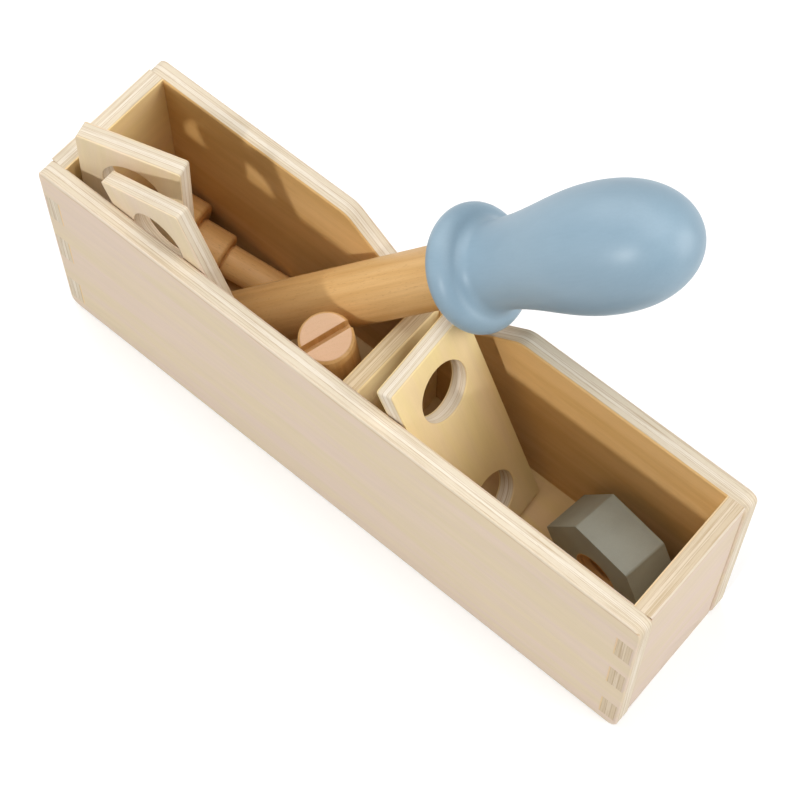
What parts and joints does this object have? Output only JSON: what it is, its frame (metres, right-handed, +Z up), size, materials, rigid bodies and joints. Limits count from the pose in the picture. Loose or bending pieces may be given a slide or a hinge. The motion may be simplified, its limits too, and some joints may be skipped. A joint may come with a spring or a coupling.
{
  "type": "toy tool box",
  "caption": "Open plywood toy tool box with through-tenon corners, a dipped long wall and a divider, holding a toy screwdriver, bolts, a hex nut and perforated plates.",
  "frame": {"origin": "middle of the bottom board's underside, on the surface that the box stands on", "axes": "+X along the box towards the nut, +Y from the plain long wall to the dipped one, +Z up"},
  "size_m": [0.24, 0.0855, 0.1658],
  "materials": {
    "birch_ply": "bare sanded birch plywood",
    "birch_ply_inside": "bare sanded plywood, darker face",
    "beech": "smooth oiled beech",
    "pale_beech": "smooth bare beech",
    "blue_paint": "turned wood in satin pale blue paint",
    "grey_paint": "wood in satin grey paint"
  },
  "bodies": {
    "box": {"near_wall": "birch_ply", "far_wall": "birch_ply", "left_end_wall": "birch_ply", "right_end_wall": "birch_ply", "bottom_board": "birch_ply_inside", "divider": "birch_ply"},
    "leaning_plate": {"plate_leaning": "birch_ply"},
    "screwdriver": {"driver_handle": "blue_paint", "driver_shaft": "beech"},
    "left_plate": {"plate_left": "birch_ply"},
    "tilted_plate": {"plate_tilted": "birch_ply"},
    "slotted_bolt": {"slotted_bolt": "pale_beech"},
    "stepped_bolt": {"stepped_bolt": "beech"},
    "nut": {"hex_nut": "grey_paint"}
  },
  "joints": [
    {"name": "leaning_plate_lift", "type": "slide", "parent": "box", "child": "leaning_plate", "axis": [0, 0, 1], "range_m": [0, 0.09]},
    {"name": "screwdriver_lift", "type": "slide", "parent": "leaning_plate", "child": "screwdriver", "axis": [0.6601, 0.2583, 0.7054], "range_m": [0, 0.13]},
    {"name": "left_plate_lift", "type": "slide", "parent": "box", "child": "left_plate", "axis": [-0.0025, 0.0431, 0.9991], "range_m": [0, 0.09]},
    {"name": "tilted_plate_lift", "type": "slide", "parent": "box", "child": "tilted_plate", "axis": [0, 0, 1], "range_m": [0, 0.09]},
    {"name": "slotted_bolt_lift", "type": "slide", "parent": "box", "child": "slotted_bolt", "axis": [0, -0.1219, 0.9925], "range_m": [0, 0.08]},
    {"name": "stepped_bolt_lift", "type": "slide", "parent": "box", "child": "stepped_bolt", "axis": [0, 0, 1], "range_m": [0, 0.09]},
    {"name": "nut_lift", "type": "slide", "parent": "box", "child": "nut", "axis": [0, 0, 1], "range_m": [0, 0.09]}
  ]
}
